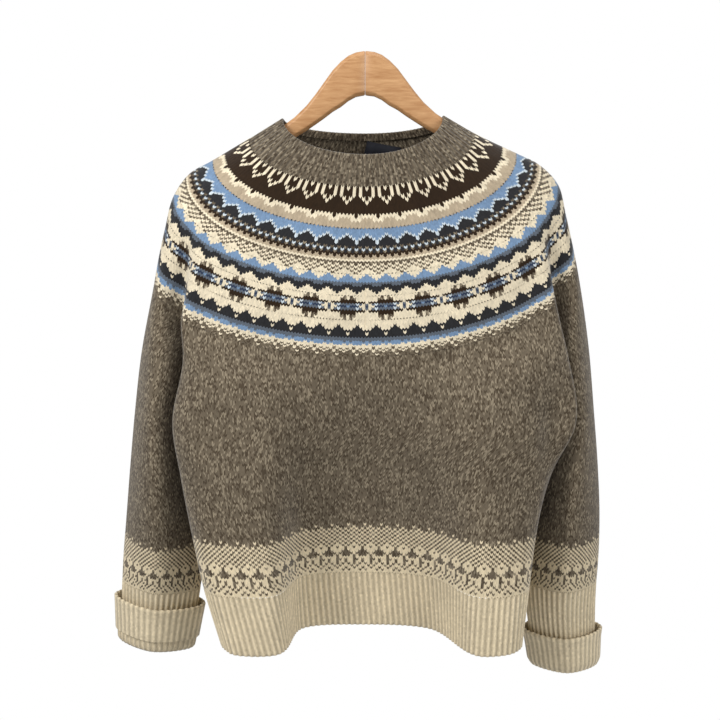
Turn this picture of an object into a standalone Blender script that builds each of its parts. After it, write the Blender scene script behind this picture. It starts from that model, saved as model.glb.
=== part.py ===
"""Fair isle jumper hanging on a two-armed wooden hanger.

Sizes are millimetres until mesh_object() turns them into metres. The origin is the top of the
hanger's middle, +Z is up, the front faces -Y and +X is on the right of someone looking at it.

The cloth is one family of closed rounds. Each row of ROUNDS or FALLS is a round, from the neck
down, and each named line runs down the cloth from the neck. Panels are the stretches between
the seam lines, so neighbours share their edges exactly and are then cut back by SEAM_GAP.
"""

import math

import bpy
import numpy as np

WALL = 2.4
SEAM_GAP = 0.3
# Each panel edge is cut back further where the crease turns too tightly for the wall: round, millimetres.
CREASE_CUT = [(7.0, 0.3), (7.4, 1.6), (8.0, 4.0), (9.0, 4.6), (9.5, 2.0), (10.0, 0.4), (13.0, 0.3)]

# Rounds of the yoke: where each meets the side, the front and the back, and how far the crease
# between body and sleeve is tucked in. Columns: name, left x z, right x z, front y z, back y z, tuck.
ROUNDS = [
    ("neck_top", (-89, -71.5), (84.5, -68.5), (-50, -110), (42, -86), 0),
    ("band_bottom", (-125, -93), (118, -87.5), (-56, -143), (50, -119), 0),
    ("peaks", (-166, -117), (165, -109.5), (-61, -188), (56, -160), 0),
    ("dots", (-190, -130.5), (186, -119.5), (-65, -216), (59, -188), 0),
    ("charcoal", (-207.5, -154), (209, -142), (-68, -243), (62, -215), 2),
    ("crosses", (-217, -187), (217.5, -172), (-70, -268), (64, -241), 9),
    ("clouds", (-225, -220), (225.5, -204), (-71, -301), (65, -274), 16),
    ("pattern_end", (-230.5, -247), (230, -223), (-71, -320), (66, -294), 22),
]
YOKE_ROUNDS = len(ROUNDS)

# Angles round the yoke from its middle to each line, in degrees, for the left and right halves.
BODY_LINES = ("inner", "column", "outer", "hollow", "fold", "seam")
ANGLES = {
    "left": {"inner": 15, "column": 28, "outer": 41, "hollow": 49, "fold": 56, "seam": 64, "sleeve": 75},
    "right": {"inner": 15, "column": 28, "outer": 43, "hollow": 52, "fold": 60, "seam": 68, "sleeve": 78},
}

# Plan places (x outward, y) of the front's lines below the yoke. Columns: name, middle z, side z,
# middle y, then each body line.
LEFT_FALLS = [
    ("chest", -362, -325, -68, (58, -73), (108, -83), (155, -80), (180, -72), (193, -58), (181, -20)),
    ("underarm", -395, -395, -62, (60, -72), (106, -90), (154, -90), (185, -84), (203, -70), (180, -2)),
    ("bust", -450, -450, -50, (63, -64), (105, -98), (150, -97), (178, -89), (195, -74), (168, 0)),
    ("waist", -515, -515, -37, (65, -50), (104, -103), (146, -102), (170, -95), (183, -80), (164, 0)),
    ("rib_top", -572, -572, -28, (67, -39), (102, -108), (138, -108), (159, -102), (170, -88), (158, 0)),
    ("hem", -636, -636, -22, (68, -32), (98, -110), (124, -112), (141, -107), (150, -95), (149, 0)),
]
RIGHT_FALLS = [
    ("chest", -362, -320, -68, (58, -74), (110, -83), (165, -80), (196, -70), (215, -55), (196, -18)),
    ("underarm", -395, -395, -62, (62, -74), (114, -92), (177, -84), (202, -64), (222, -64), (186, -2)),
    ("bust", -450, -450, -50, (64, -66), (119, -98), (178, -84), (193, -72), (201, -58), (172, 0)),
    ("waist", -515, -515, -37, (66, -52), (124, -105), (174, -88), (183, -74), (185, -56), (166, 0)),
    ("rib_top", -572, -572, -28, (68, -41), (127, -110), (168, -96), (176, -82), (176, -58), (160, 0)),
    ("hem", -636, -636, -22, (70, -33), (129, -113), (158, -104), (168, -90), (168, -60), (152, 0)),
]
BACK_DEPTH = 0.8
BACK_WIDTH = 0.97
BACK_FORWARD = 4

# Sleeves below the yoke, x outward. Columns: name, outer z, inner z, outer x y, front, back, inner.
LEFT_SLEEVE = [
    ("chest", -325, -325, (247.5, 4), (222, -50), (222, 56), (181, 0)),
    ("underarm", -395, -395, (257.5, 5), (228, -58), (230, 64), (183, 0)),
    ("bust", -450, -450, (264, 5), (229, -57), (231, 63), (184, 2)),
    ("waist", -515, -515, (271, 5), (231, -49), (232, 55), (183, 4)),
    ("wrist", -572, -578, (277, 5), (234, -37), (235, 43), (187, 4)),
    ("cuff_top", -592, -602, (278.5, 5), (236, -30), (236, 37), (191, 4)),
    ("cuff_turn", -664, -674, (282, 5), (243, -21), (243, 29), (203, 5)),
]
RIGHT_SLEEVE = [
    ("chest", -320, -320, (248.5, 4), (223, -40), (222, 56), (196, 0)),
    ("underarm", -395, -395, (257, 5), (236, -40), (230, 64), (189, 0)),
    ("bust", -450, -450, (262.5, 5), (232, -48), (229, 61), (188, 2)),
    ("waist", -515, -515, (267, 5), (228, -46), (228, 54), (184, 4)),
    ("wrist", -575, -575, (267, 5), (227, -38), (227, 45), (184, 4)),
    ("cuff_top", -594, -594, (266, 5), (226, -34), (226, 40), (185, 4)),
    ("cuff_turn", -692, -692, (267, 5), (232, -22), (232, 30), (198, 5)),
]
SIDES = {"left": (-1, LEFT_FALLS, LEFT_SLEEVE), "right": (1, RIGHT_FALLS, RIGHT_SLEEVE)}

UNDERARM = YOKE_ROUNDS + 1
RIB_TOP = YOKE_ROUNDS + 4
HEM = YOKE_ROUNDS + 5
CUFF_TOP = YOKE_ROUNDS + 5

# Grid steps between neighbouring lines.
DENSITY = {"front": 2, "back": 2, "sleeve": 4}

# The turned cuff, from its seam to the top of the turn-back: how far down the tube, how far out.
CUFF_PATH = [(0.0, 0), (0.3, 0), (0.62, 0), (0.93, 0), (1.0, 2.6), (0.93, 5.4), (0.68, 6.0)]
CUFF_RETURN = {"left": 0.24, "right": 0.56}
CUFF_FLARE = 7.4

# Hanger arm, from the middle out. Columns: x, top z, bottom z, thickness.
ARM_STATIONS = [
    (0, 0, -46.5, 13),
    (10, -1.4, -48.0, 13),
    (18, -4.6, -52.0, 13),
    (26, -10.5, -58.0, 13),
    (35, -19.5, -63.0, 13),
    (44, -31.5, -69.5, 13),
    (53, -43.5, -75.5, 13),
    (63, -55.5, -82.0, 13),
    (76, -67.5, -89.5, 13),
    (92, -78.5, -99.0, 13),
    (120, -94.5, -114.5, 14),
    (150, -111.5, -131.0, 15),
    (174, -125.5, -145.0, 15),
    (184, -133.5, -148.0, 13),
    (189, -140.0, -147.0, 9),
]
ARM_CHAMFER = 0.3
HANGER_LEAN = 0.028

# The label's middle on the back neckband, as millimetres from the middle and the share of the band.
LABEL_PLACE = (20, 0.62)
LABEL_WIDTH = 40
LABEL_HEIGHT = 18
LABEL_THICK = 0.8
LABEL_TURN = math.radians(14)

MATERIALS = {
    "marl": ((0.150, 0.117, 0.085), 0.95),
    "yoke_pattern": ((0.200, 0.165, 0.125), 0.95),
    "cream_rib": ((0.610, 0.510, 0.370), 0.95),
    "label_black": ((0.020, 0.022, 0.030), 0.80),
    "wood": ((0.480, 0.245, 0.105), 0.50),
}


def unit(vectors):
    return vectors / np.maximum(np.linalg.norm(vectors, axis=-1, keepdims=True), 1e-9)


def yoke_point(row, side, line, back):
    """The place of one line on one round of the yoke."""
    _, left, right, front_mid, back_mid, tuck = row
    reach, side_z = left if side == "left" else right
    mid_y, mid_z = back_mid if back else front_mid
    sign = SIDES[side][0]
    angle = math.radians({"centre": 0, "top": 90}.get(line) if line in ("centre", "top") else ANGLES[side][line])
    x = abs(reach) * math.sin(angle)
    y = mid_y * math.cos(angle) ** 0.72
    z = side_z + (mid_z - side_z) * math.cos(angle) ** 1.08
    push = {"seam": tuck, "fold": -0.22 * tuck}.get(line, 0)
    x -= 0.45 * push
    y += (-0.9 if back else 0.9) * push
    return (sign * x, y, z)


def fall_point(row, side, line, back):
    """The place of one body line on one round below the yoke."""
    _, mid_z, side_z, mid_y = row[:4]
    sign = SIDES[side][0]
    if line == "centre":
        x, y, share = 0, mid_y, 0
    else:
        place = BODY_LINES.index(line)
        x, y = row[4 + place]
        share = (0.06, 0.3, 0.62, 0.84, 1.0, 1.0)[place]
    z = mid_z + (side_z - mid_z) * share
    if back:
        x = x if line == "seam" else BACK_WIDTH * x
        y = -y if line == "seam" else BACK_FORWARD - BACK_DEPTH * y
        z += 22 * (1 - share) if row[0] == "chest" else 0
    return (sign * x, y, z)


def body_lines(back):
    """Control rows of the front or back, left seam to right seam, from neck to hem."""
    order = [("left", line) for line in reversed(BODY_LINES)] + [("left", "centre")]
    order += [("right", line) for line in BODY_LINES]
    rows = [[yoke_point(row, side, line, back) for side, line in order] for row in ROUNDS]
    for number in range(len(LEFT_FALLS)):
        # The back has the left front's folds on both sides; only its seams are each side's own.
        row = []
        for side, line in order:
            own = SIDES[side][1]
            falls = LEFT_FALLS if back and line != "seam" else own
            row.append(fall_point(falls[number], side, line, back))
        rows.append(row)
    return np.array(rows, float)


def sleeve_lines(side, front, back):
    """Control rows of a sleeve: front seam, front, outer edge, back, back seam, from neck to cuff turn."""
    sign, _, table = SIDES[side]
    edge = 0 if side == "left" else -1
    rows = []
    for number, row in enumerate(ROUNDS):
        rows.append(
            [
                front[number][edge],
                yoke_point(row, side, "sleeve", False),
                yoke_point(row, side, "top", False),
                yoke_point(row, side, "sleeve", True),
                back[number][edge],
            ]
        )
    for name, outer_z, inner_z, outer, fore, aft, inner in table:
        span = outer[0] - inner[0]
        ring = [inner, fore, outer, aft, inner]
        rows.append([(sign * x, y, inner_z + (outer_z - inner_z) * (x - inner[0]) / span) for x, y in ring])
    rows[YOKE_ROUNDS][0] = front[YOKE_ROUNDS][edge]
    rows[YOKE_ROUNDS][4] = back[YOKE_ROUNDS][edge]
    return np.array([[tuple(point) for point in row] for row in rows], float)


def row_slopes(rows, before, after):
    """Slopes across each row, per millimetre, from a parabola through each point and its neighbours."""
    chain = np.concatenate([before[:, None], rows, after[:, None]], axis=1)
    steps = np.diff(chain, axis=1)
    spans = np.maximum(np.linalg.norm(steps, axis=2, keepdims=True), 1e-6)
    slopes = steps / spans
    ahead, behind = spans[:, 1:], spans[:, :-1]
    return (slopes[:, :-1] * ahead + slopes[:, 1:] * behind) / (ahead + behind)


class Panel:
    """A stretch of cloth between two seam lines: point(u, v), u across the lines, v down the rounds."""

    def __init__(self, rows, slopes):
        self.rows = rows
        self.slopes = slopes

    def across(self, u):
        """Every round's points at each u, as rounds x len(u) x 3."""
        first = np.clip(np.floor(u).astype(int), 0, self.rows.shape[1] - 2)
        t = (u - first)[None, :, None]
        start, end = self.rows[:, first], self.rows[:, first + 1]
        span = np.linalg.norm(end - start, axis=2, keepdims=True)
        return hermite(start, end, self.slopes[:, first] * span, self.slopes[:, first + 1] * span, t)

    def points(self, u, v):
        """Grid len(v) x len(u) x 3 of places on the cloth's middle surface."""
        columns = self.across(np.asarray(u, float))
        ends = np.stack([2 * columns[0] - columns[1], 2 * columns[-1] - columns[-2]])
        slopes = row_slopes(columns.transpose(1, 0, 2), ends[0], ends[1]).transpose(1, 0, 2)
        v = np.asarray(v, float)
        first = np.clip(np.floor(v).astype(int), 0, len(columns) - 2)
        t = (v - first)[:, None, None]
        start, end = columns[first], columns[first + 1]
        span = np.linalg.norm(end - start, axis=2, keepdims=True)
        return hermite(start, end, slopes[first] * span, slopes[first + 1] * span, t)

    def normals(self, u, v):
        """Outward unit normals of the same grid, from small steps along it."""
        u, v = np.asarray(u, float), np.asarray(v, float)
        step = 0.02
        along = self.points(u + step, v) - self.points(u - step, v)
        down = self.points(u, v + step) - self.points(u, v - step)
        return unit(np.cross(down, along))


def hermite(start, end, start_slope, end_slope, t):
    t2, t3 = t * t, t * t * t
    return (
        (2 * t3 - 3 * t2 + 1) * start
        + (t3 - 2 * t2 + t) * start_slope
        + (3 * t2 - 2 * t3) * end
        + (t3 - t2) * end_slope
    )


def make_panels():
    """Front, back and sleeve panels whose slopes agree at every shared seam."""
    front, back = body_lines(False), body_lines(True)
    left, right = sleeve_lines("left", front, back), sleeve_lines("right", front, back)
    panels = {}
    for name, rows, other in (("front", front, back), ("back", back, front)):
        near = 1 if name == "front" else 3
        count = len(rows)
        # Above the underarm a body panel runs on into the sleeve, below it into the other body panel.
        upper = [np.array([sleeve[min(i, UNDERARM)][near] for i in range(count)]) for sleeve in (left, right)]
        lower = [other[:, 1], other[:, -2]]
        below = np.clip(np.arange(count) - UNDERARM + 0.5, 0, 1)[:, None, None]
        over = row_slopes(rows, upper[0], upper[1])
        under = row_slopes(rows, lower[0], lower[1])
        panels[name] = Panel(rows, over * (1 - below) + under * below)
    for name, rows, edge in (("sleeve_left", left, 1), ("sleeve_right", right, -2)):
        count = len(rows)
        body = [np.array([panel[min(i, UNDERARM)][edge] for i in range(count)]) for panel in (front, back)]
        below = np.clip(np.arange(count) - UNDERARM + 0.5, 0, 1)[:, None, None]
        over = row_slopes(rows, body[0], body[1])
        under = row_slopes(rows, rows[:, 3], rows[:, 1])
        panels[name] = Panel(rows, over * (1 - below) + under * below)
    return panels


def inset(u, ends, points_of):
    """Grid rows whose first and last places are drawn in along the cloth by the given millimetres."""
    grid = points_of(u)
    for place, toward, gap in ((0, 1, ends[0]), (-1, -2, ends[1])):
        away = unit(grid[:, toward] - grid[:, place])
        grid[:, place] += away * gap[:, None]
    return grid


def wall(middle, normal, closed):
    """Vertices and faces of a wall of WALL thickness over a grid; closed joins its last column to its first."""
    rows, columns = middle.shape[:2]
    outer, inner = middle + normal * WALL / 2, middle - normal * WALL / 2
    vertices = np.concatenate([outer.reshape(-1, 3), inner.reshape(-1, 3)])
    layer = rows * columns
    spans = columns if closed else columns - 1

    def at(row, column, side):
        return side * layer + row * columns + column % columns

    faces = []
    for row in range(rows - 1):
        for column in range(spans):
            corners = [(row, column), (row + 1, column), (row + 1, column + 1), (row, column + 1)]
            faces.append([at(r, c, 0) for r, c in corners])
            faces.append([at(r, c, 1) for r, c in reversed(corners)])
    for column in range(spans):
        faces.append([at(0, column, 0), at(0, column + 1, 0), at(0, column + 1, 1), at(0, column, 1)])
        faces.append([at(rows - 1, c, s) for c, s in ((column, 0), (column, 1), (column + 1, 1), (column + 1, 0))])
    if not closed:
        last = columns - 1
        for row in range(rows - 1):
            faces.append([at(row, 0, 0), at(row, 0, 1), at(row + 1, 0, 1), at(row + 1, 0, 0)])
            faces.append([at(row, last, 0), at(row + 1, last, 0), at(row + 1, last, 1), at(row, last, 1)])
    return vertices, faces


def material(name):
    made = bpy.data.materials.get(name) or bpy.data.materials.new(name)
    colour, roughness = MATERIALS[name]
    made.use_nodes = True
    shader = made.node_tree.nodes["Principled BSDF"]
    shader.inputs["Base Color"].default_value = (*colour, 1)
    shader.inputs["Roughness"].default_value = roughness
    shader.inputs["Metallic"].default_value = 0
    return made


def mesh_object(name, vertices, faces, surface):
    mesh = bpy.data.meshes.new(name)
    mesh.from_pydata([tuple(0.001 * value for value in vertex) for vertex in np.asarray(vertices)], [], faces)
    mesh.materials.append(material(surface))
    mesh.update()
    made = bpy.data.objects.new(name, mesh)
    bpy.context.collection.objects.link(made)
    return made


def drawn_in(rounds, top, bottom):
    """The grid's first and last rounds drawn in along the cloth by half a seam gap, where asked."""
    if top:
        rounds[0] += unit(rounds[1] - rounds[0]) * SEAM_GAP / 2
    if bottom:
        rounds[-1] += unit(rounds[-2] - rounds[-1]) * SEAM_GAP / 2
    return rounds


def ring(panels, parts, v):
    """Middle surface and normals of a closed ring through all four panels."""
    grids, normals = [], []
    for name, forward in parts:
        panel = panels[name]
        density = DENSITY[name.split("_")[0]]
        lines = panel.rows.shape[1]
        u = np.linspace(0, lines - 1, (lines - 1) * density + 1)
        u = u if forward else u[::-1]
        grid, normal = panel.points(u, v), panel.normals(u, v)
        grids.append(grid[:, :-1])
        normals.append((normal if forward else -normal)[:, :-1])
    return np.concatenate(grids, axis=1), np.concatenate(normals, axis=1)


RING_PARTS = (("front", True), ("sleeve_right", True), ("back", False), ("sleeve_left", False))


def make_ring(panels, name, first, last, steps, surface, seams):
    v = np.linspace(first, last, steps + 1)
    middle, normal = ring(panels, RING_PARTS, v)
    middle = drawn_in(middle, *seams)
    vertices, faces = wall(middle, normal, True)
    return mesh_object(name, vertices, faces, surface)


def make_panel(panels, name, panel_name, first, last, steps, surface, seams):
    panel = panels[panel_name]
    density = DENSITY[panel_name.split("_")[0]]
    flip = panel_name in ("back", "sleeve_left")
    lines = panel.rows.shape[1]
    u = np.linspace(0, lines - 1, (lines - 1) * density + 1)
    v = np.linspace(first, last, steps + 1)
    gaps = np.interp(v, *zip(*CREASE_CUT))
    middle = inset(u, (gaps, gaps), lambda places: panel.points(places, v))
    middle = drawn_in(middle, *seams)
    normal = panel.normals(u, v)
    if flip:
        middle, normal = middle[:, ::-1], -normal[:, ::-1]
    vertices, faces = wall(middle, normal, False)
    return mesh_object(name, vertices, faces, surface)


def make_cuff(panels, side):
    """The rib tube from its seam to the turn and back up outside itself, as one wall."""
    panel = panels["sleeve_" + side]
    path = CUFF_PATH + [(CUFF_RETURN[side], CUFF_FLARE)]
    v = CUFF_TOP + np.array([down for down, _ in path])
    out = np.array([reach for _, reach in path])
    u = np.linspace(0, 4, 17)[:-1]
    tube, normal = panel.points(u, v), panel.normals(u, v)
    if side == "left":
        tube, normal = tube[:, ::-1], -normal[:, ::-1]
    middle = tube + normal * out[:, None, None]
    middle[0] += unit(middle[1] - middle[0]) * SEAM_GAP / 2
    along = np.roll(middle, -1, axis=1) - np.roll(middle, 1, axis=1)
    down = np.gradient(middle, axis=0)
    vertices, faces = wall(middle, unit(np.cross(down, along)), True)
    return mesh_object("cuff_" + side, vertices, faces, "cream_rib")


def make_label(panels):
    """A small bare tab that follows the inside of the back neckband."""
    panel = panels["back"]
    centre, across = 6.0, 25.0
    height = 34.0
    corners = []
    for b in np.linspace(-0.5, 0.5, 3) * LABEL_HEIGHT:
        for a in np.linspace(-0.5, 0.5, 5) * LABEL_WIDTH:
            x = LABEL_PLACE[0] + a * math.cos(LABEL_TURN) + b * math.sin(LABEL_TURN)
            drop = -a * math.sin(LABEL_TURN) + b * math.cos(LABEL_TURN)
            corners.append((centre + x / across, LABEL_PLACE[1] - drop / height))
    points = np.array([panel.points([u], [v])[0, 0] for u, v in corners])
    normal = -np.array([panel.normals([u], [v])[0, 0] for u, v in corners])
    lift = WALL / 2 + SEAM_GAP + LABEL_THICK / 2
    middle = (points - normal * lift).reshape(3, 5, 3)
    normal = normal.reshape(3, 5, 3)
    rows, columns = middle.shape[:2]
    layers = [middle + normal * LABEL_THICK / 2, middle - normal * LABEL_THICK / 2]
    vertices = np.concatenate([layer.reshape(-1, 3) for layer in layers])
    count = rows * columns
    faces = []
    for row in range(rows - 1):
        for column in range(columns - 1):
            quad = [row * columns + column, row * columns + column + 1]
            quad += [(row + 1) * columns + column + 1, (row + 1) * columns + column]
            faces += [quad[::-1], [count + corner for corner in quad]]
    rim = list(range(columns)) + [row * columns + columns - 1 for row in range(1, rows)]
    rim += [(rows - 1) * columns + column for column in range(columns - 2, -1, -1)]
    rim += [row * columns for row in range(rows - 2, 0, -1)]
    for here, there in zip(rim, rim[1:] + rim[:1]):
        faces.append([here, there, count + there, count + here])
    return mesh_object("neck_label", vertices, faces, "label_black")


def make_arm(side):
    """One hanger arm: chamfered sections from the middle line out to its rounded end."""
    sign = SIDES[side][0]
    vertices, faces = [], []
    for x, top, bottom, thick in ARM_STATIONS:
        top += HANGER_LEAN * sign * x
        bottom += HANGER_LEAN * sign * x
        x = max(x, SEAM_GAP / 2)
        half = thick / 2
        cut_y, cut_z = ARM_CHAMFER * thick, ARM_CHAMFER * min(thick, top - bottom)
        section = [(-half, bottom + cut_z), (-half, top - cut_z), (-half + cut_y, top), (half - cut_y, top)]
        section += [(half, top - cut_z), (half, bottom + cut_z), (half - cut_y, bottom), (-half + cut_y, bottom)]
        vertices += [(sign * x, y, z) for y, z in section]
    size = 8
    for ring_start in range(0, len(vertices) - size, size):
        for corner in range(size):
            after = (corner + 1) % size
            faces.append([ring_start + corner, ring_start + after, ring_start + size + after, ring_start + size + corner])
    faces.append(list(range(size))[::-1])
    faces.append(list(range(len(vertices) - size, len(vertices))))
    if sign > 0:
        faces = [face[::-1] for face in faces]
    return mesh_object("hanger_arm_" + side, vertices, faces, "wood")


def main():
    for old in list(bpy.data.objects):
        bpy.data.objects.remove(old, do_unlink=True)
    panels = make_panels()
    make_ring(panels, "neckband", 0, 1, 2, "marl", (False, True))
    make_ring(panels, "yoke", 1, YOKE_ROUNDS - 1, 8, "yoke_pattern", (True, True))
    for name in ("front", "back"):
        make_panel(panels, name, name, YOKE_ROUNDS - 1, RIB_TOP, 9, "marl", (True, True))
        make_panel(panels, "hem_rib_" + name, name, RIB_TOP, HEM, 2, "cream_rib", (True, False))
    for side in SIDES:
        name = "sleeve_" + side
        make_panel(panels, name, name, YOKE_ROUNDS - 1, CUFF_TOP, 10, "marl", (True, True))
        make_cuff(panels, side)
        make_arm(side)
    make_label(panels)


main()
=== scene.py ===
"""Looks of the fair isle jumper on its hanger: every stitch is modelled on the garment's own form.

Sizes are millimetres until cloth_object() turns them into metres. The shape tables and functions
are the garment's own, so each knitted piece lies on its solid. Charts are knitted bottom row last.
"""

import math

import bpy
import numpy as np
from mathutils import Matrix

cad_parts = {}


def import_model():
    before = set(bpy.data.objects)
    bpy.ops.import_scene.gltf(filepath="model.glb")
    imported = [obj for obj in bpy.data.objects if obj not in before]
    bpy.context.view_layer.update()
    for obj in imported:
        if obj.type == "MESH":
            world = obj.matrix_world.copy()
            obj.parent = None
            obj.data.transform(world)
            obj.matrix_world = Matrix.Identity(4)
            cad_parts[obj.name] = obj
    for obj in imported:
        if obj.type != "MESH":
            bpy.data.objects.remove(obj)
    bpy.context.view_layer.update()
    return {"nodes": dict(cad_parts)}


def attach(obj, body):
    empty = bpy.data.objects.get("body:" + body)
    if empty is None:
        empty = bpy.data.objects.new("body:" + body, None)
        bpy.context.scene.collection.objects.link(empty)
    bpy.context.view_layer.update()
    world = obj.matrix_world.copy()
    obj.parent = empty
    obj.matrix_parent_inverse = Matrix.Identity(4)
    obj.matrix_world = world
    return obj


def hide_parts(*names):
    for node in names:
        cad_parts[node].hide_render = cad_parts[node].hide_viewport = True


WALL = 2.4
ROW = 2.55
BODY_STITCHES = 198
SLEEVE_STITCHES = 102
NECK_STITCHES = 210
CUFF_STITCHES = 72
# Columns of the mesh to each stitch: its edge, left leg, middle and right leg.
COLUMNS = 4
# How far a stitch's columns stand out, in millimetres, and hang down, in rows.
LEG_HEIGHTS = [0.0, 0.95, 0.18, 0.95]
LEG_DROPS = [-0.28, 0.02, 0.42, 0.02]
# The knit lies this far out from the middle of the wall.
FACE = 0.2
LIGHT_FLECKS = 0.20
DARK_FLECKS = 0.24
YARN_UNEVENNESS = 0.07

CAMERA = (-0.0055, -1.30, -0.1258)
CAMERA_TILT = 9.147
FOCAL_SHARE = 1180 / 720
WORLD_LIGHT = 0.52

# Rounds of the yoke: where each meets the side, the front and the back, and how far the crease
# between body and sleeve is tucked in. Columns: name, left x z, right x z, front y z, back y z, tuck.
ROUNDS = [
    ("neck_top", (-89, -71.5), (84.5, -68.5), (-50, -110), (42, -86), 0),
    ("band_bottom", (-125, -93), (118, -87.5), (-56, -143), (50, -119), 0),
    ("peaks", (-166, -117), (165, -109.5), (-61, -188), (56, -160), 0),
    ("dots", (-190, -130.5), (186, -119.5), (-65, -216), (59, -188), 0),
    ("charcoal", (-207.5, -154), (209, -142), (-68, -243), (62, -215), 2),
    ("crosses", (-217, -187), (217.5, -172), (-70, -268), (64, -241), 9),
    ("clouds", (-225, -220), (225.5, -204), (-71, -301), (65, -274), 16),
    ("pattern_end", (-230.5, -247), (230, -223), (-71, -320), (66, -294), 22),
]
YOKE_ROUNDS = len(ROUNDS)

# Angles round the yoke from its middle to each line, in degrees, for the left and right halves.
BODY_LINES = ("inner", "column", "outer", "hollow", "fold", "seam")
ANGLES = {
    "left": {"inner": 15, "column": 28, "outer": 41, "hollow": 49, "fold": 56, "seam": 64, "sleeve": 75},
    "right": {"inner": 15, "column": 28, "outer": 43, "hollow": 52, "fold": 60, "seam": 68, "sleeve": 78},
}

# Plan places (x outward, y) of the front's lines below the yoke. Columns: name, middle z, side z,
# middle y, then each body line.
LEFT_FALLS = [
    ("chest", -362, -325, -68, (58, -73), (108, -83), (155, -80), (180, -72), (193, -58), (181, -20)),
    ("underarm", -395, -395, -62, (60, -72), (106, -90), (154, -90), (185, -84), (203, -70), (180, -2)),
    ("bust", -450, -450, -50, (63, -64), (105, -98), (150, -97), (178, -89), (195, -74), (168, 0)),
    ("waist", -515, -515, -37, (65, -50), (104, -103), (146, -102), (170, -95), (183, -80), (164, 0)),
    ("rib_top", -572, -572, -28, (67, -39), (102, -108), (138, -108), (159, -102), (170, -88), (158, 0)),
    ("hem", -636, -636, -22, (68, -32), (98, -110), (124, -112), (141, -107), (150, -95), (149, 0)),
]
RIGHT_FALLS = [
    ("chest", -362, -320, -68, (58, -74), (110, -83), (165, -80), (196, -70), (215, -55), (196, -18)),
    ("underarm", -395, -395, -62, (62, -74), (114, -92), (177, -84), (202, -64), (222, -64), (186, -2)),
    ("bust", -450, -450, -50, (64, -66), (119, -98), (178, -84), (193, -72), (201, -58), (172, 0)),
    ("waist", -515, -515, -37, (66, -52), (124, -105), (174, -88), (183, -74), (185, -56), (166, 0)),
    ("rib_top", -572, -572, -28, (68, -41), (127, -110), (168, -96), (176, -82), (176, -58), (160, 0)),
    ("hem", -636, -636, -22, (70, -33), (129, -113), (158, -104), (168, -90), (168, -60), (152, 0)),
]
BACK_DEPTH = 0.8
BACK_WIDTH = 0.97
BACK_FORWARD = 4
BACK_RISE = 22

# How full the yoke's rounds are towards the sides, and how they dip to the middle.
ROUND_FULLNESS = 0.72
SMILE_CURVE = 1.08
# Which way the crease is tucked, and how far the fold beside it swells.
CREASE_IN = 0.45
CREASE_BACK = 0.9
FOLD_SWELL = 0.22
# How much of the way from middle height to side height each body line has gone.
SIDE_SHARES = (0.06, 0.3, 0.62, 0.84, 1.0, 1.0)

# Sleeves below the yoke, x outward. Columns: name, outer z, inner z, outer x y, front, back, inner.
LEFT_SLEEVE = [
    ("chest", -325, -325, (247.5, 4), (222, -50), (222, 56), (181, 0)),
    ("underarm", -395, -395, (257.5, 5), (228, -58), (230, 64), (183, 0)),
    ("bust", -450, -450, (264, 5), (229, -57), (231, 63), (184, 2)),
    ("waist", -515, -515, (271, 5), (231, -49), (232, 55), (183, 4)),
    ("wrist", -572, -578, (277, 5), (234, -37), (235, 43), (187, 4)),
    ("cuff_top", -592, -602, (278.5, 5), (236, -30), (236, 37), (191, 4)),
    ("cuff_turn", -664, -674, (282, 5), (243, -21), (243, 29), (203, 5)),
]
RIGHT_SLEEVE = [
    ("chest", -320, -320, (248.5, 4), (223, -40), (222, 56), (196, 0)),
    ("underarm", -395, -395, (257, 5), (236, -40), (230, 64), (189, 0)),
    ("bust", -450, -450, (262.5, 5), (232, -48), (229, 61), (188, 2)),
    ("waist", -515, -515, (267, 5), (228, -46), (228, 54), (184, 4)),
    ("wrist", -575, -575, (267, 5), (227, -38), (227, 45), (184, 4)),
    ("cuff_top", -594, -594, (266, 5), (226, -34), (226, 40), (185, 4)),
    ("cuff_turn", -692, -692, (267, 5), (232, -22), (232, 30), (198, 5)),
]
SIDES = {"left": (-1, LEFT_FALLS, LEFT_SLEEVE), "right": (1, RIGHT_FALLS, RIGHT_SLEEVE)}

UNDERARM = YOKE_ROUNDS + 1
RIB_TOP = YOKE_ROUNDS + 4
HEM = YOKE_ROUNDS + 5
CUFF_TOP = YOKE_ROUNDS + 5

# The turned cuff, from its seam to the top of the turn-back: how far down the tube, how far out.
CUFF_PATH = [(0.0, 0), (0.3, 0), (0.62, 0), (0.93, 0), (1.0, 2.6), (0.93, 5.4), (0.68, 6.0)]
CUFF_RETURN = {"left": 0.24, "right": 0.56}
CUFF_FLARE = 7.4

# Yarn colours as they look in daylight, 0 to 255. M is the marl, m and d its light and dark flecks,
# the dot is the ribs' cream. The yoke has brown, cream, tan, light blue, white, charcoal, grey, navy.
YARNS = {
    "M": (106, 95, 79),
    "m": (142, 130, 110),
    "d": (78, 67, 53),
    ".": (222, 206, 174),
    "B": (44, 30, 16),
    "C": (226, 213, 186),
    "T": (176, 160, 136),
    "L": (116, 142, 172),
    "W": (196, 206, 212),
    "K": (40, 40, 42),
    "G": (92, 100, 110),
    "V": (40, 52, 76),
}

# The band above the hem and the cuffs, six stitches wide, top row first.
BAND = """
MMMMMM M.MMMM MMM.MM .M.M.M M.M.M. .M.M.M M.M.M. .M.M.M M.M.M. .M.M.M M.M.M. .M...M
M..M.. M..... MM...M MMM.MM MM.M.M ...M.. M..MM. M..M.. .M.M.M ..M.M. M..M.. .M...M ......
""".split()

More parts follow.
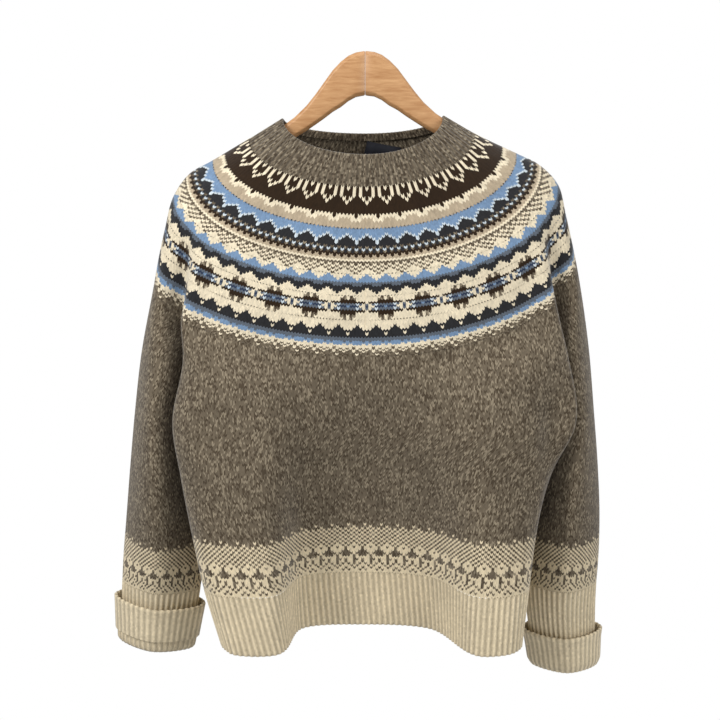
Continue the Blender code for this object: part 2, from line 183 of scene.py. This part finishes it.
# The yoke from the neckband down, in bands that share a stitch count: repeats round the yoke, rows.
# N is marl here too. Each chart starts at the middle of the front.
YOKE_BANDS = [
    (33, "CBCBCB BBCBCB BBCBCB BCBBBC CBBBBB BBBBBB BBBBBB BBBBBB CCCBCC TTCCCT TTTTTT TTTTTT"),
    (41, "LLLLLL LLLLLL WLLLLL KWLLLW KKWLWK KKKWKK KKKWKK KKKKKK NKNKNK KWKWKW KNKNKN BBBBBB TBTBTB "
         "TTTTTT CCCCCC NNNNNN CNCNCN NCNCNC CNCNCN CCNCNC CCCNCC"),
    (50, "LCCCCC LLCCCL LLLCLL LLLLLL GGGGGG KKGGGK KKKKKK CKKKKK CCKKKC CCCKCC CCCCCC"),
    (27, "CCCCCNCNCCCC CCCCNNCNNCCC CCCCBBBBBCCC CBBBBBBBBBBB GCGWGGGGGWGC VCCVVVLVVVCC "
         "GCGWGGGGGWGC CBBBBBBBBBBB CCCCBBBBBCCC CCCCNNCNNCCC CCCCCNCNCCCC"),
    (56, "CCCCCC CCCCCC CCCKCC CCKKKC KKKKKK CKKKKK KKKKKK GGGGGG GGGGGG LGLLLG LLLLLL LCLLLC CCCCCC "
         "CCNCCC NCNCNC CNCNCN NNCNNC NNNNNN NNNCNN NNNNNN"),
]


def unit(vectors):
    return vectors / np.maximum(np.linalg.norm(vectors, axis=-1, keepdims=True), 1e-9)


def yoke_point(row, side, line, back):
    """The place of one line on one round of the yoke."""
    _, left, right, front_mid, back_mid, tuck = row
    reach, side_z = left if side == "left" else right
    mid_y, mid_z = back_mid if back else front_mid
    sign = SIDES[side][0]
    angle = math.radians({"centre": 0, "top": 90, **ANGLES[side]}[line])
    x = abs(reach) * math.sin(angle)
    y = mid_y * math.cos(angle) ** ROUND_FULLNESS
    z = side_z + (mid_z - side_z) * math.cos(angle) ** SMILE_CURVE
    push = {"seam": tuck, "fold": -FOLD_SWELL * tuck}.get(line, 0)
    x -= CREASE_IN * push
    y += (-CREASE_BACK if back else CREASE_BACK) * push
    return (sign * x, y, z)


def fall_point(row, side, line, back):
    """The place of one body line on one round below the yoke."""
    _, mid_z, side_z, mid_y = row[:4]
    sign = SIDES[side][0]
    if line == "centre":
        x, y, share = 0, mid_y, 0
    else:
        place = BODY_LINES.index(line)
        x, y = row[4 + place]
        share = SIDE_SHARES[place]
    z = mid_z + (side_z - mid_z) * share
    if back:
        x = x if line == "seam" else BACK_WIDTH * x
        y = -y if line == "seam" else BACK_FORWARD - BACK_DEPTH * y
        z += BACK_RISE * (1 - share) if row[0] == "chest" else 0
    return (sign * x, y, z)


def body_lines(back):
    """Control rows of the front or back, left seam to right seam, from neck to hem."""
    order = [("left", line) for line in reversed(BODY_LINES)] + [("left", "centre")]
    order += [("right", line) for line in BODY_LINES]
    rows = [[yoke_point(row, side, line, back) for side, line in order] for row in ROUNDS]
    for number in range(len(LEFT_FALLS)):
        # The back has the left front's folds on both sides; only its seams are each side's own.
        row = []
        for side, line in order:
            own = SIDES[side][1]
            falls = LEFT_FALLS if back and line != "seam" else own
            row.append(fall_point(falls[number], side, line, back))
        rows.append(row)
    return np.array(rows, float)


def sleeve_lines(side, front, back):
    """Control rows of a sleeve: front seam, front, outer edge, back, back seam, from neck to cuff turn."""
    sign, _, table = SIDES[side]
    edge = 0 if side == "left" else -1
    rows = []
    for number, row in enumerate(ROUNDS):
        rows.append(
            [
                front[number][edge],
                yoke_point(row, side, "sleeve", False),
                yoke_point(row, side, "top", False),
                yoke_point(row, side, "sleeve", True),
                back[number][edge],
            ]
        )
    for _, outer_z, inner_z, outer, fore, aft, inner in table:
        span = outer[0] - inner[0]
        ring = [inner, fore, outer, aft, inner]
        slope = (outer_z - inner_z) / span
        rows.append([(sign * x, y, inner_z + slope * (x - inner[0])) for x, y in ring])
    rows[YOKE_ROUNDS][0] = front[YOKE_ROUNDS][edge]
    rows[YOKE_ROUNDS][4] = back[YOKE_ROUNDS][edge]
    return np.array([[tuple(point) for point in row] for row in rows], float)


def row_slopes(rows, before, after):
    """Slopes across each row, per millimetre, from a parabola through each point and its neighbours."""
    chain = np.concatenate([before[:, None], rows, after[:, None]], axis=1)
    steps = np.diff(chain, axis=1)
    spans = np.maximum(np.linalg.norm(steps, axis=2, keepdims=True), 1e-6)
    slopes = steps / spans
    ahead, behind = spans[:, 1:], spans[:, :-1]
    return (slopes[:, :-1] * ahead + slopes[:, 1:] * behind) / (ahead + behind)


class Panel:
    """A stretch of cloth between two seam lines: point(u, v), u across the lines, v down the rounds."""

    def __init__(self, rows, slopes):
        self.rows = rows
        self.slopes = slopes

    def across(self, u):
        """Every round's points at each u, as rounds x len(u) x 3."""
        first = np.clip(np.floor(u).astype(int), 0, self.rows.shape[1] - 2)
        t = (u - first)[None, :, None]
        start, end = self.rows[:, first], self.rows[:, first + 1]
        span = np.linalg.norm(end - start, axis=2, keepdims=True)
        return hermite(start, end, self.slopes[:, first] * span, self.slopes[:, first + 1] * span, t)

    def points(self, u, v):
        """Grid len(v) x len(u) x 3 of places on the cloth's middle surface."""
        columns = self.across(np.asarray(u, float))
        ends = np.stack([2 * columns[0] - columns[1], 2 * columns[-1] - columns[-2]])
        slopes = row_slopes(columns.transpose(1, 0, 2), ends[0], ends[1]).transpose(1, 0, 2)
        v = np.asarray(v, float)
        first = np.clip(np.floor(v).astype(int), 0, len(columns) - 2)
        t = (v - first)[:, None, None]
        start, end = columns[first], columns[first + 1]
        span = np.linalg.norm(end - start, axis=2, keepdims=True)
        return hermite(start, end, slopes[first] * span, slopes[first + 1] * span, t)

    def normals(self, u, v):
        """Outward unit normals of the same grid, from small steps along it."""
        u, v = np.asarray(u, float), np.asarray(v, float)
        step = 0.02
        along = self.points(u + step, v) - self.points(u - step, v)
        down = self.points(u, v + step) - self.points(u, v - step)
        return unit(np.cross(down, along))


def hermite(start, end, start_slope, end_slope, t):
    t2, t3 = t * t, t * t * t
    return (
        (2 * t3 - 3 * t2 + 1) * start
        + (t3 - 2 * t2 + t) * start_slope
        + (3 * t2 - 2 * t3) * end
        + (t3 - t2) * end_slope
    )


def make_panels():
    """Front, back and sleeve panels whose slopes agree at every shared seam."""
    front, back = body_lines(False), body_lines(True)
    left, right = sleeve_lines("left", front, back), sleeve_lines("right", front, back)
    panels = {}
    for name, rows, other in (("front", front, back), ("back", back, front)):
        near = 1 if name == "front" else 3
        count = len(rows)
        # Above the underarm a body panel runs on into the sleeve, below it into the other body panel.
        above = np.minimum(np.arange(count), UNDERARM)
        upper = [sleeve[above, near] for sleeve in (left, right)]
        lower = [other[:, 1], other[:, -2]]
        below = np.clip(np.arange(count) - UNDERARM + 0.5, 0, 1)[:, None, None]
        over = row_slopes(rows, upper[0], upper[1])
        under = row_slopes(rows, lower[0], lower[1])
        panels[name] = Panel(rows, over * (1 - below) + under * below)
    for name, rows, edge in (("sleeve_left", left, 1), ("sleeve_right", right, -2)):
        count = len(rows)
        above = np.minimum(np.arange(count), UNDERARM)
        body = [panel[above, edge] for panel in (front, back)]
        below = np.clip(np.arange(count) - UNDERARM + 0.5, 0, 1)[:, None, None]
        over = row_slopes(rows, body[0], body[1])
        under = row_slopes(rows, rows[:, 3], rows[:, 1])
        panels[name] = Panel(rows, over * (1 - below) + under * below)
    return panels


def linear(colour):
    share = np.asarray(colour, float) / 255
    return np.where(share <= 0.04045, share / 12.92, ((share + 0.055) / 1.055) ** 2.4)


def resampled(curve, lengths, places):
    """Points and normals of one curve, six numbers each, at the given lengths along it."""
    return np.stack([np.interp(places, lengths, curve[:, axis]) for axis in range(6)], axis=1)


def lengths_of(curve):
    return np.concatenate([[0], np.cumsum(np.linalg.norm(np.diff(curve[:, :3], axis=0), axis=1))])


def dense(panel, outward, first, last, rows, columns):
    """A fine grid of places and outward normals on a panel, rows x columns x 6."""
    u = np.linspace(0, panel.rows.shape[1] - 1, columns)
    v = np.linspace(first, last, rows)
    return np.concatenate([panel.points(u, v), panel.normals(u, v) * outward], axis=2)


def knitted(grid, colours, rib=0):
    """Vertices, quads and a yarn colour for each quad, over a grid of four columns to a stitch.

    A knit stitch is a V: its two legs stand up, and its middle and edges dip and hang half a row
    lower or higher. A rib raises every other stitch as a cord instead.
    """
    rows, columns = grid.shape[:2]
    place, normal = grid[..., :3].copy(), grid[..., 3:]
    phase = np.arange(columns) % COLUMNS
    down = np.gradient(place, axis=0)
    if rib:
        wave = np.cos(np.arange(columns) / COLUMNS * math.pi)[None, :]
        place += normal * (0.55 + rib * wave)[..., None]
        place += down * (0.16 * (phase == 2))[None, :, None]
    else:
        leg = np.array(LEG_HEIGHTS)[phase]
        drop = np.array(LEG_DROPS)[phase]
        place += normal * leg[None, :, None] + down * drop[None, :, None]
    corner = np.arange(rows * columns).reshape(rows, columns)
    quads = np.stack([corner[:-1, :-1], corner[1:, :-1], corner[1:, 1:], corner[:-1, 1:]], axis=2)
    return place.reshape(-1, 3), quads.reshape(-1, 4), colours.reshape(-1, 3)


def chart_colours(letters, seed):
    """Yarn colours of an array of chart letters, a leg at a time, with the marl's flecks."""
    random = np.random.default_rng(seed)
    legs = np.repeat(letters, COLUMNS, axis=1)
    legs = np.where(legs == "N", "M", legs)
    chance = np.repeat(random.random((letters.shape[0], letters.shape[1] * 2)), 2, axis=1)
    legs = np.where((legs == "M") & (chance < LIGHT_FLECKS), "m", legs)
    legs = np.where((legs == "M") & (chance > 1 - DARK_FLECKS), "d", legs)
    found = np.zeros((*legs.shape, 3))
    for letter, colour in YARNS.items():
        found[legs == letter] = linear(colour)
    uneven = random.normal(1, YARN_UNEVENNESS, (letters.shape[0], letters.shape[1] * 2))
    shade = np.repeat(uneven, 2, axis=1)
    return found * shade[..., None]


def flat_grid(dense_grid, stitches, height, clamp_row):
    """A stitch grid over a panel. Above clamp_row the outer wales run off at the seams."""
    rows, columns = dense_grid.shape[:2]
    lengths = [lengths_of(row) for row in dense_grid]
    middle = columns // 2
    share = np.linspace(-0.5, 0.5, stitches * COLUMNS + 1)
    width_there = lengths[clamp_row][-1]
    across = []
    off_there = lengths[clamp_row][-1] / 2 - lengths[clamp_row][middle]
    for number, row in enumerate(dense_grid):
        total = lengths[number][-1]
        width = total if number >= clamp_row else width_there
        centre = total / 2 if number >= clamp_row else lengths[number][middle] + off_there
        places = np.clip(centre + share * width, 0, total)
        across.append(resampled(row, lengths[number], places))
    across = np.array(across)[::-1].transpose(1, 0, 2)
    runs = [lengths_of(wale) for wale in across]
    count = int(max(run[-1] for run in runs) / height) + 1
    levels = np.arange(count + 1) * height
    wales = [resampled(wale, run, np.minimum(levels, run[-1])) for wale, run in zip(across, runs)]
    return np.array(wales).transpose(1, 0, 2)[::-1]


def band_letters(rows, stitches):
    """Marl with the patterned band as its lowest rows."""
    letters = np.full((rows, stitches), "M")
    for up, text in enumerate(reversed(BAND)):
        for stitch in range(stitches):
            letters[rows - 1 - up, stitch] = text[(stitch + 3) % 6]
    return letters


def cloth_object(name, parts, yarn):
    """One mesh from knitted parts, with its colours in the corner attribute 'yarn'."""
    places, quads, colours, first = [], [], [], 0
    for place, quad, colour in parts:
        places.append(place)
        quads.append(quad + first)
        colours.append(colour)
        first += len(place)
    places, quads, colours = np.concatenate(places), np.concatenate(quads), np.concatenate(colours)
    side = places[quads]
    area = np.linalg.norm(np.cross(side[:, 2] - side[:, 0], side[:, 3] - side[:, 1]), axis=1)
    kept = area > 0.02
    quads, colours = quads[kept], colours[kept]
    used, quads = np.unique(quads, return_inverse=True)
    quads = quads.reshape(-1, 4)
    mesh = bpy.data.meshes.new(name)
    mesh.vertices.add(len(used))
    mesh.vertices.foreach_set("co", (places[used] * 0.001).astype(np.float32).ravel())
    mesh.loops.add(len(quads) * 4)
    mesh.loops.foreach_set("vertex_index", quads.astype(np.int32).ravel())
    mesh.polygons.add(len(quads))
    mesh.polygons.foreach_set("loop_start", np.arange(0, len(quads) * 4, 4, dtype=np.int32))
    mesh.update(calc_edges=True)
    mesh.polygons.foreach_set("use_smooth", np.ones(len(quads), bool))
    painted = np.ones((len(quads) * 4, 4), np.float32)
    painted[:, :3] = np.clip(np.repeat(colours, 4, axis=0), 0, 1)
    mesh.attributes.new("yarn", "FLOAT_COLOR", "CORNER").data.foreach_set("color", painted.ravel())
    mesh.materials.append(yarn)
    made = bpy.data.objects.new(name, mesh)
    bpy.context.scene.collection.objects.link(made)
    return made


def knit_panel(panel, outward, last, stitches, seed):
    """A body panel or sleeve in marl, from the yoke down to the round numbered last."""
    first = YOKE_ROUNDS - 1
    grid = dense(panel, outward, first, last, 90, 241)
    clamp_row = int(round((UNDERARM - first) / (last - first) * 89))
    grid = flat_grid(grid, stitches, ROW, clamp_row)
    grid[..., :3] += grid[..., 3:] * FACE
    letters = band_letters(len(grid) - 1, stitches)
    return knitted(grid, chart_colours(letters, seed))


def knit_rib(grid, stitches, rows, letter, seed, depth):
    """A rib over a dense grid, its bound-off last edge turned in over the wall's edge."""
    lengths = [lengths_of(row) for row in grid]
    places = np.linspace(0, 1, stitches * COLUMNS + 1)
    across = np.array([resampled(row, run, places * run[-1]) for row, run in zip(grid, lengths)])
    wales = across.transpose(1, 0, 2)
    runs = [lengths_of(wale) for wale in wales]
    shares = np.linspace(0, 1, rows + 1)
    knit = [resampled(wale, run, shares * run[-1]) for wale, run in zip(wales, runs)]
    knit = np.array(knit).transpose(1, 0, 2)
    inside = knit[::-1][: max(2, rows // 3)].copy()
    inside[..., :3] -= inside[..., 3:] * (WALL - 0.4)
    edge = knit[-1:].copy()
    past = unit(knit[-1:, :, :3] - knit[-2:-1, :, :3])
    edge[..., :3] += past * 0.7 - edge[..., 3:] * WALL * 0.45
    inside[..., 3:] *= -0.3
    knit = np.concatenate([knit, edge, inside])
    colours = chart_colours(np.full((len(knit) - 1, stitches), letter), seed)
    # Painted shade: every other wale of the rib is darkened by up to a fifth, standing in for the shade
    # that falls in the grooves between the cords.
    painted_groove_shade = 0.80 + 0.20 * np.cos((np.arange(stitches * COLUMNS) + 0.5) / COLUMNS * math.pi)
    return knitted(knit, colours * painted_groove_shade[None, :, None], depth)


# Panels in their order round the yoke: which way is out, and whether their lines run with the round.
RING_PARTS = (
    ("front", 1, True),
    ("sleeve_right", 1, True),
    ("back", -1, False),
    ("sleeve_left", -1, False),
)


def dense_ring(panels, first, last, rows):
    """The whole way round the yoke from the middle of the front, closed on itself."""
    grids = []
    for name, outward, forward in RING_PARTS:
        grid = dense(panels[name], outward, first, last, rows, 141)
        grids.append((grid if forward else grid[:, ::-1])[:, :-1])
    grid = np.roll(np.concatenate(grids, axis=1), -70, axis=1)
    return np.concatenate([grid, grid[:, :1]], axis=1)


def knit_yoke(panels):
    """The yoke's bands, each with its own stitch count, row after row from the neckband down."""
    bands = [(repeats, text.split()) for repeats, text in YOKE_BANDS]
    total = sum(len(rows) for _, rows in bands)
    ring = dense_ring(panels, 1, YOKE_ROUNDS - 1, total * 2 + 1)
    parts, done = [], 0
    for number, (repeats, rows) in enumerate(bands):
        stitches = repeats * len(rows[0])
        places = np.linspace(0, 1, stitches * COLUMNS + 1)
        grid = []
        for row in range(done, done + len(rows) + 1):
            run = lengths_of(ring[row * 2])
            grid.append(resampled(ring[row * 2], run, places * run[-1]))
        grid = np.array(grid)
        grid[..., :3] += grid[..., 3:] * FACE
        letters = np.array([list(text * repeats) for text in rows])
        parts.append(knitted(grid, chart_colours(letters, 40 + number)))
        done += len(rows)
    return parts


def knit_cuff(panels, side):
    """The cuff's rib down the tube, round its turn and back up outside."""
    panel, outward = panels["sleeve_" + side], 1 if side == "right" else -1
    path = CUFF_PATH + [(CUFF_RETURN[side], CUFF_FLARE)]
    grid = dense(panel, outward, CUFF_TOP, CUFF_TOP + 1, 41, 121)
    down = np.array([step[0] for step in path]) * 40
    out = np.array([step[1] for step in path])
    fine = np.linspace(0, len(path) - 1, 60)
    down, out = np.interp(fine, range(len(path)), down), np.interp(fine, range(len(path)), out)
    low = np.clip(down.astype(int), 0, 39)
    share = (down - low)[:, None, None]
    mixed = grid[low] * (1 - share) + grid[low + 1] * share
    mixed[..., :3] += mixed[..., 3:] * out[:, None, None]
    along = np.roll(mixed[..., :3], -1, axis=1) - np.roll(mixed[..., :3], 1, axis=1)
    along[:, [0, -1]] = (mixed[:, 1, :3] - mixed[:, -2, :3])[:, None]
    normal = unit(np.cross(np.gradient(mixed[..., :3], axis=0), along)) * outward
    mixed[..., 3:] = normal
    return knit_rib(mixed, CUFF_STITCHES, 46, ".", 70 + outward, 0.75)


class Shade:
    """A shader node's output that takes part in sums, so shader maths reads as maths."""

    def __init__(self, tree, socket):
        self.tree, self.socket = tree, socket

    def node(self, kind, settings=None, output=0, **values):
        made = self.tree.nodes.new(kind)
        for name, value in (settings or {}).items():
            setattr(made, name, value)
        for name, value in values.items():
            socket = made.inputs[int(name[1:]) if name[1:].isdigit() else name.replace("_", " ")]
            if isinstance(value, Shade):
                self.tree.links.new(value.socket, socket)
            else:
                socket.default_value = value
        return Shade(self.tree, made.outputs[output])

    def _maths(self, operation, other):
        return self.node("ShaderNodeMath", {"operation": operation}, i0=self, i1=other)

    def __add__(self, other):
        return self._maths("ADD", other)

    def __mul__(self, other):
        return self._maths("MULTIPLY", other)

    __radd__ = __add__
    __rmul__ = __mul__


def new_material(name, roughness, sheen=0.0):
    made = bpy.data.materials.new(name)
    made.use_nodes = True
    shader = made.node_tree.nodes["Principled BSDF"]
    shader.inputs["Roughness"].default_value = roughness
    shader.inputs["Sheen Weight"].default_value = sheen
    shader.inputs["Sheen Roughness"].default_value = 0.45
    return made, made.node_tree, shader


def yarn_material():
    made, tree, shader = new_material("yarn", 0.92, 0.35)
    shader.inputs["Specular IOR Level"].default_value = 0.15
    root = Shade(tree, None)
    place = root.node("ShaderNodeTexCoord", output=3)
    colour = root.node("ShaderNodeAttribute", {"attribute_name": "yarn"})
    fibre = root.node("ShaderNodeTexNoise", Vector=place, Scale=1400.0, Detail=3.0, Roughness=0.7)
    cloud = root.node("ShaderNodeTexNoise", Vector=place, Scale=26.0, Detail=2.0)
    shade = fibre * 0.7 + 0.50 + cloud * 0.30
    tinted = root.node("ShaderNodeVectorMath", {"operation": "SCALE"}, i0=colour, i3=shade)
    bump = root.node("ShaderNodeBump", Height=fibre, Strength=0.5, Distance=0.0004)
    tree.links.new(tinted.socket, shader.inputs["Base Color"])
    tree.links.new(bump.socket, shader.inputs["Normal"])
    return made


def wood_material():
    made, tree, shader = new_material("hanger_wood", 0.42)
    root = Shade(tree, None)
    place = root.node("ShaderNodeTexCoord", output=3)
    stretched = root.node("ShaderNodeMapping", Vector=place, Scale=(14.0, 60.0, 90.0))
    grain = root.node(
        "ShaderNodeTexNoise", Vector=stretched, Scale=3.0, Detail=6.0, Roughness=0.6, Distortion=0.6
    )
    ramp = root.node("ShaderNodeValToRGB", Fac=grain)
    ends = ramp.socket.node.color_ramp.elements
    ends[0].position, ends[0].color = 0.30, (*linear((172, 122, 76)), 1)
    ends[1].position, ends[1].color = 0.72, (*linear((206, 160, 112)), 1)
    tree.links.new(ramp.socket, shader.inputs["Base Color"])
    return made


def label_material():
    made, _, shader = new_material("label_cloth", 0.8)
    shader.inputs["Base Color"].default_value = (*linear((26, 28, 38)), 1)
    return made


def hard_copy(node, name, surface, rounds):
    """The solid's own mesh with its edges rounded off, in place of the plain one."""
    mesh = node.data.copy()
    mesh.materials.clear()
    mesh.materials.append(surface)
    made = bpy.data.objects.new(name, mesh)
    bpy.context.scene.collection.objects.link(made)
    weld = made.modifiers.new("weld", "WELD")
    weld.merge_threshold = 0.00002
    if rounds:
        bevel = made.modifiers.new("bevel", "BEVEL")
        bevel.width, bevel.segments = 0.0016, 3
        bevel.limit_method, bevel.angle_limit = "ANGLE", 0.5
    graph = bpy.context.evaluated_depsgraph_get()
    made.data = bpy.data.meshes.new_from_object(made.evaluated_get(graph))
    made.modifiers.clear()
    made.data.polygons.foreach_set("use_smooth", np.ones(len(made.data.polygons), bool))
    made.data.update()
    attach(made, "root")
    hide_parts(node.name)
    return made


def declare(made, node):
    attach(made, "root")
    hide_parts(node)


def light(name, place, turn, size, power):
    data = bpy.data.lights.new(name, "AREA")
    data.shape, data.size, data.energy = "DISK", size, power
    made = bpy.data.objects.new(name, data)
    made.location = place
    made.rotation_euler = [math.radians(angle) for angle in turn]
    bpy.context.scene.collection.objects.link(made)


def make_stage():
    world = bpy.data.worlds.new("pale")
    world.use_nodes = True
    sky = world.node_tree.nodes["Background"]
    sky.inputs["Color"].default_value = (1, 1, 1, 1)
    # White where it is seen, softer where it lights the wool, so that the folds keep their shade.
    seen = Shade(world.node_tree, None).node("ShaderNodeLightPath") * (1 - WORLD_LIGHT) + WORLD_LIGHT
    world.node_tree.links.new(seen.socket, sky.inputs["Strength"])
    bpy.context.scene.world = world
    bpy.context.scene.view_settings.view_transform = "Standard"
    light("key", (-1.25, -1.15, 0.75), (55, 0, -47), 0.7, 26)
    light("fill", (1.3, -1.5, 0.1), (76, 0, 41), 0.8, 12)
    light("top", (0.3, -0.2, 1.5), (0, 0, 0), 1.2, 9)
    data = bpy.data.cameras.new("camera")
    data.sensor_width, data.lens = 36, 36 * FOCAL_SHARE
    data.dof.use_dof = False
    camera = bpy.data.objects.new("camera", data)
    camera.location = CAMERA
    camera.rotation_euler = (math.radians(90 - CAMERA_TILT), 0, 0)
    bpy.context.scene.collection.objects.link(camera)
    bpy.context.scene.camera = camera


def flip_if_inward(made):
    """Turns a piece's faces over where most of them look towards its own middle."""
    count = len(made.data.polygons)
    middles, normals = np.empty(count * 3), np.empty(count * 3)
    made.data.polygons.foreach_get("center", middles)
    made.data.polygons.foreach_get("normal", normals)
    middles, normals = middles.reshape(-1, 3), normals.reshape(-1, 3)
    away = middles - middles.mean(axis=0)
    if made.name.startswith(("front", "hem_knit_front")):
        away = np.array([0, -1, 0])
    if made.name.startswith(("back", "hem_knit_back")):
        away = np.array([0, 1, 0])
    if (normals * away).sum() < 0:
        made.data.flip_normals()


def main():
    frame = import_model()
    nodes = frame["nodes"]
    panels = make_panels()
    yarn, wood, tab = yarn_material(), wood_material(), label_material()

    ring = dense_ring(panels, 0, 1, 24)[::-1].copy()
    neck = cloth_object("neckband_rib", [knit_rib(ring, NECK_STITCHES, 14, "M", 5, 0.45)], yarn)
    flip_if_inward(neck)
    declare(neck, "neckband")
    yoke = cloth_object("yoke_knit", knit_yoke(panels), yarn)
    flip_if_inward(yoke)
    declare(yoke, "yoke")
    for name, outward, seed in (("front", 1, 11), ("back", -1, 12)):
        panel = panels[name]
        part = knit_panel(panel, outward, RIB_TOP, BODY_STITCHES, seed)
        made = cloth_object(name + "_knit", [part], yarn)
        flip_if_inward(made)
        declare(made, name)
        grid = dense(panel, outward, RIB_TOP, HEM, 20, 241)
        hem = knit_rib(grid, BODY_STITCHES, 24, ".", seed + 8, 0.75)
        rib = cloth_object("hem_knit_" + name, [hem], yarn)
        flip_if_inward(rib)
        declare(rib, "hem_rib_" + name)
    for side, outward, seed in (("left", -1, 21), ("right", 1, 22)):
        name = "sleeve_" + side
        part = knit_panel(panels[name], outward, CUFF_TOP, SLEEVE_STITCHES, seed)
        made = cloth_object(name + "_knit", [part], yarn)
        flip_if_inward(made)
        declare(made, name)
        cuff = cloth_object("cuff_knit_" + side, [knit_cuff(panels, side)], yarn)
        flip_if_inward(cuff)
        declare(cuff, "cuff_" + side)
        hard_copy(nodes["hanger_arm_" + side], "hanger_wood_" + side, wood, True)
    hard_copy(nodes["neck_label"], "label_tab", tab, False)

    make_stage()


main()
